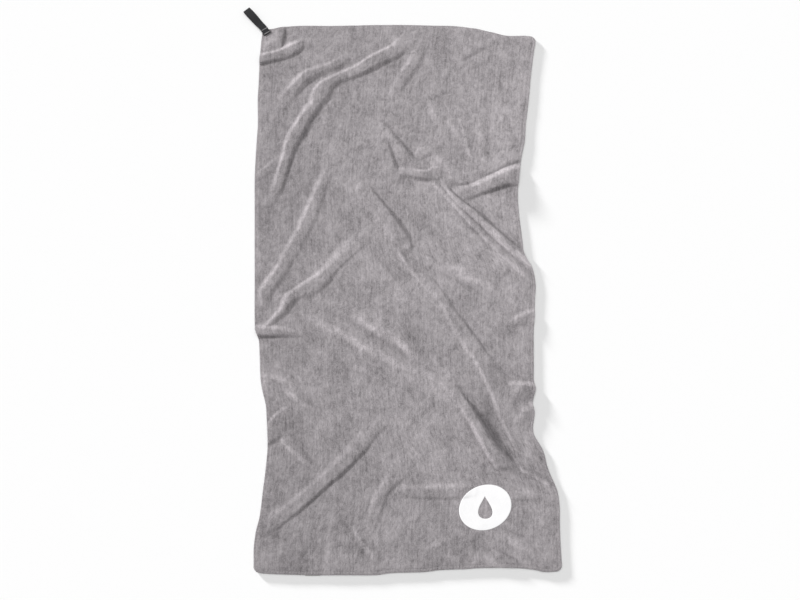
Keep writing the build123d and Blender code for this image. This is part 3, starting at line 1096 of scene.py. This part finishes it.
# ---------------------------------------------------------------- the hang loop
def build_tape():
    tail = TAIL_LO[2] - TAIL_SINK
    low = tail + 0.02 + TAPE_THICK / 2
    high = tail + TAPE_RISE + TAPE_THICK / 2
    # side view of the tape's middle: s from the hinge, z
    path = [
        (-14.7, low), (-9, low), (-4, low), (0.3, low - 0.04), (4.5, 3.0), (7.5, 2.55),
        (10.5, 1.8), (13.5, 1.05), (17, 0.66), (22, 0.54), (31, 0.52), (40.5, 0.54),
        (45.2, 0.9), (48.2, 1.9), (49.2, 3.5), (48.2, 5.1), (45.0, 6.1), (39.0, 6.8),
        (32, 6.9), (26, 6.5), (20, 5.5), (14, 4.5), (9, 4.1), (4.5, 4.2),
        (0.3, high - 0.02), (-4, high), (-9, high), (-15.0, high - 0.02),
    ]
    line = smooth_line(path, 0.42)
    gaps = np.linalg.norm(np.diff(line, axis=0), axis=1)
    line = line[np.concatenate([[True], gaps > 0.15])]
    length = np.concatenate([[0], np.cumsum(np.linalg.norm(np.diff(line, axis=0), axis=1))])
    tangent = np.gradient(line, axis=0)
    tangent /= np.linalg.norm(tangent, axis=1, keepdims=True)
    normal = np.stack([-tangent[:, 1], tangent[:, 0]], 1)

    # cross section: width and offset through the thickness, once around
    half, count = 6.7, 36
    face = np.linspace(-half + 0.22, half - 0.22, count)
    edge = np.array([half - 0.03, half, half - 0.03])
    width = np.concatenate([face, edge, face[::-1], -edge])
    side = [0.26, 0, -0.26]
    offset = np.concatenate([np.full(count, 0.5), side, np.full(count, -0.5), side[::-1]])
    offset = offset * TAPE_THICK

    # nine woven cords, with the picks of neighbours half a step apart
    pitch = 2 * half / 9
    pick_step = 1.9
    cord = np.floor((width + half) / pitch)
    ridge = np.abs(np.sin(math.pi * (width + half) / pitch)) ** 0.7
    pick_phase = 2 * math.pi * length[:, None] / pick_step + math.pi * cord[None, :]
    lift = 0.15 * ridge[None, :] * (0.62 + 0.38 * np.cos(pick_phase)) - 0.12
    selvedge = np.exp(-((np.abs(width) - half + 0.5) / 0.45) ** 2)
    lift = lift + 0.05 * selvedge[None, :]
    out = offset[None, :] + np.sign(offset)[None, :] * lift
    sway = 0.16 * np.sin(length / 11.0 + 0.7)
    s = line[:, 0][:, None] + normal[:, 0][:, None] * out
    z = line[:, 1][:, None] + normal[:, 1][:, None] * out
    across = np.repeat(width[None, :], len(line), 0) + sway[:, None]
    x, y = tape_plan(s, across)
    verts = np.stack([x, y, np.maximum(z, 0.01)], -1).reshape(-1, 3)
    ids = np.arange(x.size).reshape(x.shape)
    faces = ring_quads(ids[:-1], ids[1:]).tolist()
    faces += [ids[0][::-1].tolist(), ids[-1].tolist()]
    flat = np.stack([np.repeat(length[:, None], len(width), 1), across, out], -1)
    return add_mesh("hang_loop_tape", verts * MM, faces, flat.reshape(-1, 3) * MM)


def build_bartack():
    """Two zigzag rows of thread across the tape."""
    top = TAIL_LO[2] - TAIL_SINK + TAPE_RISE + TAPE_THICK + 0.12
    half_width, steps = 5.2, 30
    verts, faces = [], []
    for centre in (-3.7, -12.7):
        rows = []
        for i in range(steps + 1):
            across = -half_width + 2 * half_width * i / steps
            way = 1 if i % 2 else -1
            rows.append((centre + 0.85 * way, across, top))
            if i < steps:
                rows.append((centre + 0.25 * way, across + 0.13, top + 0.14))
                rows.append((centre - 0.25 * way, across + 0.24, top + 0.14))
        s, across, z = np.array(rows).T
        points = np.stack([*tape_plan(s, across), z], 1)
        normals = np.repeat([[0.02, 0.03, 1.0]], len(points), 0)
        thread, thread_faces = tube(points, normals, radius=0.2, sides=6, closed=False)
        base = sum(len(part) for part in verts)
        faces += [[i + base for i in face] for face in thread_faces]
        verts.append(thread)
    verts = np.vstack(verts) * MM
    return add_mesh("bartack_stitches", verts, faces, verts)


# ---------------------------------------------------------------- the badge
def build_badge():
    """A tilted ellipse with a drop-shaped hole, pointed at its +y end."""
    tilt, major, minor = math.radians(23.0), 43.6, 36.0
    hole_half_w, hole_half_l = 11.5, 18.5
    hub_y = -3.0  # the rays start here, measured from the badge's middle
    spokes, rings = 220, 26
    angle = np.linspace(0, 2 * math.pi, spokes, endpoint=False)

    t = np.linspace(0, 2 * math.pi, 2400, endpoint=False)
    hole_x = np.sin(t) * np.abs(np.sin(t / 2)) ** 1.5
    hole_x *= hole_half_w / hole_x.max()
    hole_y = hole_half_l * np.cos(t)
    hole_angle = np.mod(np.arctan2(hole_y - hub_y, hole_x), 2 * math.pi)
    hole_radius = np.hypot(hole_x, hole_y - hub_y)
    order = np.argsort(hole_angle)
    inner = np.interp(angle, hole_angle[order], hole_radius[order], period=2 * math.pi)

    # distance from the hub out to the ellipse, in the ellipse's own axes
    cos, sin = np.cos(angle), np.sin(angle)
    ray_x = cos * math.cos(tilt) + sin * math.sin(tilt)
    ray_y = -cos * math.sin(tilt) + sin * math.cos(tilt)
    off_x, off_y = hub_y * math.sin(tilt), hub_y * math.cos(tilt)
    square = (ray_x / major) ** 2 + (ray_y / minor) ** 2
    linear = 2 * (ray_x * off_x / major**2 + ray_y * off_y / minor**2)
    constant = (off_x / major) ** 2 + (off_y / minor) ** 2 - 1
    outer = (-linear + np.sqrt(linear**2 - 4 * square * constant)) / (2 * square)

    # rings crowd towards both rims
    swing = np.cos(math.pi * np.linspace(0, 1, rings))
    share = 0.5 - 0.5 * swing * (0.6 + 0.4 * np.abs(swing))
    radius = inner[None, :] + (outer - inner)[None, :] * share[:, None]
    x = BADGE_MID[0] + radius * cos[None, :]
    y = BADGE_MID[1] + hub_y + radius * sin[None, :]
    ground = lie_height(x, y) + PILE
    inset = np.minimum(radius - inner[None, :], outer[None, :] - radius)
    rise = 0.12 + 0.38 * rounded(inset / 0.9)
    grain = 0.05 * lattice_noise(x / 2.4, y / 2.4, 31) * np.clip(inset / 2, 0, 1)
    top = np.stack([x, y, ground + rise + grain], -1).reshape(-1, 3)
    low = np.stack([x, y, ground - 0.35], -1).reshape(-1, 3)
    verts = np.vstack([top, low]) * MM

    ids = np.arange(x.size).reshape(x.shape)
    near, far = ids[:-1], ids[1:]
    upper = quads(near, far, np.roll(far, -1, 1), np.roll(near, -1, 1))
    outer_wall = wall_quads(ids[-1], ids.size)
    inner_wall = np.roll(wall_quads(ids[0], ids.size)[:, ::-1], 1, 1)
    faces = np.vstack([upper, upper[:, ::-1] + ids.size, outer_wall, inner_wall])
    return add_mesh("badge_patch", verts, faces.tolist(), verts)


# ---------------------------------------------------------------- the care label
def build_label():
    (x_lo, y_lo, _), (x_hi, y_hi, _) = LABEL_LO, LABEL_HI
    x, y = np.meshgrid(np.linspace(x_lo, x_hi, 49), np.linspace(y_lo, y_hi, 81))
    inset = np.minimum(np.minimum(x - x_lo, x_hi - x), np.minimum(y - y_lo, y_hi - y))
    weave = 0.02 * np.sin(2 * math.pi * y) * np.clip(inset, 0, 1)
    seam = -0.08 * np.exp(-((inset - 1.8) / 0.35) ** 2)
    thinning = 0.06 * (1 - np.clip(inset / 0.5, 0, 1))
    low = np.maximum(0.05 + thinning - weave - seam, 0.02)
    high = 0.32 - thinning
    layers = [np.stack([x, y, z], -1).reshape(-1, 3) for z in (high, low)]
    verts = np.vstack(layers) * MM
    ids = np.arange(x.size).reshape(x.shape)
    upper = grid_quads(ids)
    rim = np.concatenate([ids[0, :-1], ids[:-1, -1], ids[-1, :0:-1], ids[:0:-1, 0]])
    faces = np.vstack([upper, upper[:, ::-1] + ids.size, wall_quads(rim, ids.size)])
    return add_mesh("care_label_ribbon", verts, faces.tolist(), verts)


# ---------------------------------------------------------------- materials
class Shader:
    """A material with one principled surface, and short ways to add the nodes that feed it."""

    def __init__(self, name, surface):
        self.material = bpy.data.materials.new(name)
        self.material.use_nodes = True
        self.tree = self.material.node_tree
        self.tree.nodes.clear()
        output = self.add("OutputMaterial")
        self.surface = self.add("BsdfPrincipled", surface)
        self.tree.links.new(self.surface.outputs["BSDF"], output.inputs["Surface"])

    def feed(self, node, inputs):
        for socket, value in inputs.items():
            if isinstance(value, bpy.types.NodeSocket):
                self.tree.links.new(value, node.inputs[socket])
            else:
                node.inputs[socket].default_value = value

    def add(self, kind, inputs=None, **settings):
        node = self.tree.nodes.new("ShaderNode" + kind)
        for key, value in settings.items():
            setattr(node, key, value)
        self.feed(node, inputs or {})
        return node

    def finish(self, colour, normal):
        self.feed(self.surface, {"Base Color": colour, "Normal": normal})
        return self.material

    def attribute(self, name):
        return self.add("Attribute", attribute_name=name)

    def stretched(self, vector, scale):
        return self.add("Mapping", {"Vector": vector, "Scale": scale}).outputs["Vector"]

    def noise(self, vector, scale, detail=2.0, roughness=0.6, distortion=0.0):
        return self.add("TexNoise", {
            "Vector": vector, "Scale": scale, "Detail": detail,
            "Roughness": roughness, "Distortion": distortion,
        }).outputs["Fac"]

    def math(self, operation, *values):
        return self.add("Math", dict(enumerate(values)), operation=operation).outputs[0]

    def ramp(self, value, low, high, low_colour, high_colour):
        span = self.add("MapRange", {"Value": value, "From Min": low, "From Max": high})
        # sockets 6 and 7 are the two colours, output 2 their mix
        colours = {6: (*low_colour, 1), 7: (*high_colour, 1)}
        factor = {"Factor": span.outputs["Result"]}
        return self.add("Mix", factor | colours, data_type="RGBA").outputs[2]

    def bump(self, height, distance, strength, normal=None):
        inputs = {"Height": height, "Distance": distance, "Strength": strength}
        if normal is not None:
            inputs["Normal"] = normal
        return self.add("Bump", inputs).outputs["Normal"]


def tint(base, factor):
    return tuple(channel * factor for channel in base)


def plush_material(name):
    shader = Shader(name, {
        "Roughness": 0.9, "Specular IOR Level": 0.12, "Sheen Weight": 0.16,
        "Sheen Roughness": 0.5, "Sheen Tint": (0.97, 0.94, 0.96, 1),
    })
    flat = shader.attribute("flat").outputs["Vector"]
    # mottling at several sizes, from where the pile leans one way or another:
    # stretch along y, scale, detail, roughness, distortion, gain
    layers = (
        (0.80, 17, 1.0, 0.5, 0.0, 0.55),
        (0.80, 42, 2.0, 0.6, 0.6, 0.66),
        (0.70, 105, 2.0, 0.6, 0.5, 0.76),
        (0.60, 260, 2.0, 0.7, 0.3, 0.82),
        (0.70, 760, 1.0, 0.6, 0.0, 0.80),
        (0.055, 380, 2.0, 0.6, 0.0, 0.56),
        (0.0035, 300, 1.0, 0.6, 0.0, 0.26),
    )
    total, parts = 1.0, []
    for stretch, scale, detail, roughness, distortion, gain in layers:
        vector = shader.stretched(flat, (1.0, stretch, 1.0))
        part = shader.noise(vector, scale, detail, roughness, distortion)
        parts.append(part)
        total = shader.math("MULTIPLY_ADD", shader.math("SUBTRACT", part, 0.5), gain, total)
    # the point attribute read here paints light and shade into the colour along the folds and in
    # patches
    painted_tone = shader.math("ADD", shader.attribute("painted_shading").outputs["Fac"], 1.0)
    total = shader.math("MULTIPLY", total, painted_tone)
    plush = (0.300, 0.2797, 0.2900)
    colour = shader.add("VectorMath", operation="SCALE")
    shader.feed(colour, {0: plush, "Scale": total})
    normal = None
    # which layer, bump distance in metres, strength
    for layer, distance, strength in (
        (2, 0.0020, 0.5), (3, 0.0010, 0.6), (4, 0.0005, 0.7), (5, 0.0005, 0.4),
    ):
        normal = shader.bump(parts[layer], distance, strength, normal)
    return shader.finish(colour.outputs["Vector"], normal)


def thread_material(name, base, variation, sheen):
    shader = Shader(name, {
        "Roughness": 0.72, "Specular IOR Level": 0.3, "Sheen Weight": sheen,
        "Sheen Roughness": 0.5,
    })
    flat = shader.attribute("flat").outputs["Vector"]
    fine, wide = shader.noise(flat, scale=900), shader.noise(flat, scale=60)
    total = shader.math("MULTIPLY_ADD", wide, 0.6, fine)
    colours = tint(base, 1 - variation), tint(base, 1 + variation)
    colour = shader.ramp(total, 0.55, 1.05, *colours)
    vector = shader.stretched(flat, (1, 1, 1))
    strands = shader.noise(vector, scale=2600, detail=1.0, roughness=0.5)
    return shader.finish(colour, shader.bump(strands, distance=0.0002, strength=0.5))


def edge_thread_material(name):
    return thread_material(name, base=(0.385, 0.361, 0.373), variation=0.10, sheen=0.2)


def tack_thread_material(name):
    return thread_material(name, base=(0.33, 0.32, 0.325), variation=0.12, sheen=0.1)


def webbing_material(name):
    shader = Shader(name, {
        "Roughness": 0.78, "Specular IOR Level": 0.28, "Sheen Weight": 0.03,
        "Sheen Roughness": 0.4,
    })
    flat = shader.attribute("flat").outputs["Vector"]
    wave = {"Vector": flat, "Scale": 165, "Distortion": 0.6, "Detail": 1.0}
    picks = shader.add("TexWave", wave, bands_direction="X")
    fuzz = shader.noise(flat, scale=1500)
    total = shader.math("MULTIPLY_ADD", picks.outputs["Fac"], 0.4, fuzz)
    base = (0.0235, 0.0235, 0.0255)
    colour = shader.ramp(total, 0.35, 1.0, tint(base, 0.75), tint(base, 1.35))
    return shader.finish(colour, shader.bump(total, distance=0.00025, strength=0.6))


def badge_material(name):
    surface = {"Roughness": 0.85, "Specular IOR Level": 0.2, "Sheen Weight": 0.1}
    shader = Shader(name, surface)
    flat = shader.attribute("flat").outputs["Vector"]
    fine, wide = shader.noise(flat, scale=1300), shader.noise(flat, scale=60, roughness=0.5)
    total = shader.math("MULTIPLY_ADD", wide, 0.5, fine)
    colour = shader.ramp(total, 0.5, 1.0, (0.88, 0.875, 0.885), (0.95, 0.945, 0.95))
    return shader.finish(colour, shader.bump(fine, distance=0.0003, strength=0.35))


def label_material(name):
    shader = Shader(name, {"Roughness": 0.42, "Specular IOR Level": 0.45})
    flat = shader.attribute("flat").outputs["Vector"]
    wave = {"Vector": flat, "Scale": 320, "Distortion": 0.4}
    weave = shader.add("TexWave", wave, bands_direction="Y")
    fine = shader.noise(flat, scale=700)
    total = shader.math("MULTIPLY_ADD", weave.outputs["Fac"], 0.4, fine)
    colour = shader.ramp(total, 0.4, 1.0, (0.78, 0.775, 0.75), (0.88, 0.875, 0.855))
    return shader.finish(colour, shader.bump(total, distance=0.0002, strength=0.35))


def floor_material(name):
    return Shader(name, {
        "Base Color": (0.93, 0.93, 0.93, 1), "Roughness": 0.95, "Specular IOR Level": 0.05,
    }).material


# ---------------------------------------------------------------- assembly
def dress(obj, slot, make_material, *pieces):
    """Gives a mesh its material and hides the CAD pieces it stands for."""
    obj.data.materials.append(make_material(slot))
    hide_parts(*pieces)
    return obj


cloth = dress(
    build_cloth(), "plush", plush_material, "towel_cloth_upper", "towel_cloth_lower"
)
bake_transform(cloth)

border = dress(
    build_overlock(), "edge_thread", edge_thread_material,
    "overlock_edge_upper", "overlock_edge_lower",
)
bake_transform(border)

tape = dress(build_tape(), "webbing", webbing_material, "hang_loop", "loop_tail")
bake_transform(tape)

stitches = dress(build_bartack(), "tack_thread", tack_thread_material, "loop_bartack")
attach(stitches, "upper_half")

badge = dress(build_badge(), "badge_white", badge_material, "badge")
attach(badge, "lower_half")

label = dress(build_label(), "label_satin", label_material, "care_label")
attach(label, "lower_half")


# ---------------------------------------------------------------- floor and lights, in metres
def build_floor():
    half, z = 6, -0.0004
    corners = [(-half, -half, z), (half, -half, z), (half, half, z), (-half, half, z)]
    obj = add_mesh("studio_floor", corners, [[0, 1, 2, 3]], smooth=False)
    obj.data.materials.append(floor_material("studio_floor"))
    return obj


def light(kind, name, place, target, **settings):
    data = bpy.data.lights.new(name, kind)
    for key, value in settings.items():
        setattr(data, key, value)
    obj = bpy.data.objects.new(name, data)
    bpy.context.scene.collection.objects.link(obj)
    obj.location = place
    way = Vector(target) - Vector(place)
    obj.rotation_euler = way.to_track_quat("-Z", "Y").to_euler()
    return obj


def sun(name, elevation, bearing, strength, spread):
    """A sun; all angles in degrees, the bearing measured from +x towards +y."""
    rise, turn = math.radians(elevation), math.radians(bearing)
    way = Vector((
        math.cos(rise) * math.cos(turn), math.cos(rise) * math.sin(turn), math.sin(rise),
    ))
    place = tuple(way * 3)
    return light("SUN", name, place, (0, 0, 0), energy=strength, angle=math.radians(spread))


def collect(name, *objects):
    collection = bpy.data.collections.new(name)
    for obj in objects:
        collection.objects.link(obj)
    return collection


floor = build_floor()
# the towel has a side key and a soft fill of its own
key = sun("key", elevation=25, bearing=165, strength=3.5, spread=11)
fill = light(
    "AREA", "fill_right", place=(0.85, 0.45, 1.1), target=(0.10, 0.12, 0), energy=11.0, size=0.9
)
not_table = collect("all_but_table", floor)
not_table.collection_objects[0].light_linking.link_state = "EXCLUDE"
key.light_linking.receiver_collection = not_table
fill.light_linking.receiver_collection = not_table
# the table has an even light from overhead and a low one for the towel's wide soft shadow
graze = sun("graze", elevation=7.2, bearing=134, strength=6.85, spread=4.4)
overhead = sun("overhead", elevation=80, bearing=150, strength=1.5, spread=60)
table_only = collect("table_only", floor)
graze.light_linking.receiver_collection = table_only
overhead.light_linking.receiver_collection = table_only
# a low kicker from +x, -y keeps the thread of the far border as light as the rest
kicker = sun("kicker", elevation=14, bearing=-48, strength=2.6, spread=20)
kicker.light_linking.receiver_collection = collect("edge_light", border)
graze.light_linking.blocker_collection = collect("casts_on_table", cloth, border)

world = bpy.data.worlds.new("studio")
world.use_nodes = True
background = world.node_tree.nodes["Background"]
background.inputs["Color"].default_value = (1, 1, 1, 1)
background.inputs["Strength"].default_value = 0.32
bpy.context.scene.world = world

view = bpy.context.scene.view_settings
view.view_transform = "Standard"
view.look = "None"
view.exposure = 0.0


# ---------------------------------------------------------------- camera
def build_camera():
    """Looks down at the face from 19 degrees off vertical, from the badge's end."""
    tilt, roll, distance = math.radians(19.0014), -0.0110585, 2.46442
    target = Vector((-0.005699, -0.023808, 0))
    back = Vector((0, -math.sin(tilt), math.cos(tilt)))
    level = Vector((1, 0, 0))
    upright = back.cross(level)
    right = level * math.cos(roll) + upright * math.sin(roll)
    up = upright * math.cos(roll) - level * math.sin(roll)
    place = target + back * distance
    data = bpy.data.cameras.new("camera")
    data.sensor_width = 36
    data.lens = 65.25
    data.clip_start = 0.05
    camera = bpy.data.objects.new("camera", data)
    bpy.context.scene.collection.objects.link(camera)
    rows = [(right[i], up[i], back[i], place[i]) for i in range(3)]
    camera.matrix_world = Matrix((*rows, (0, 0, 0, 1)))
    bpy.context.scene.camera = camera


build_camera()
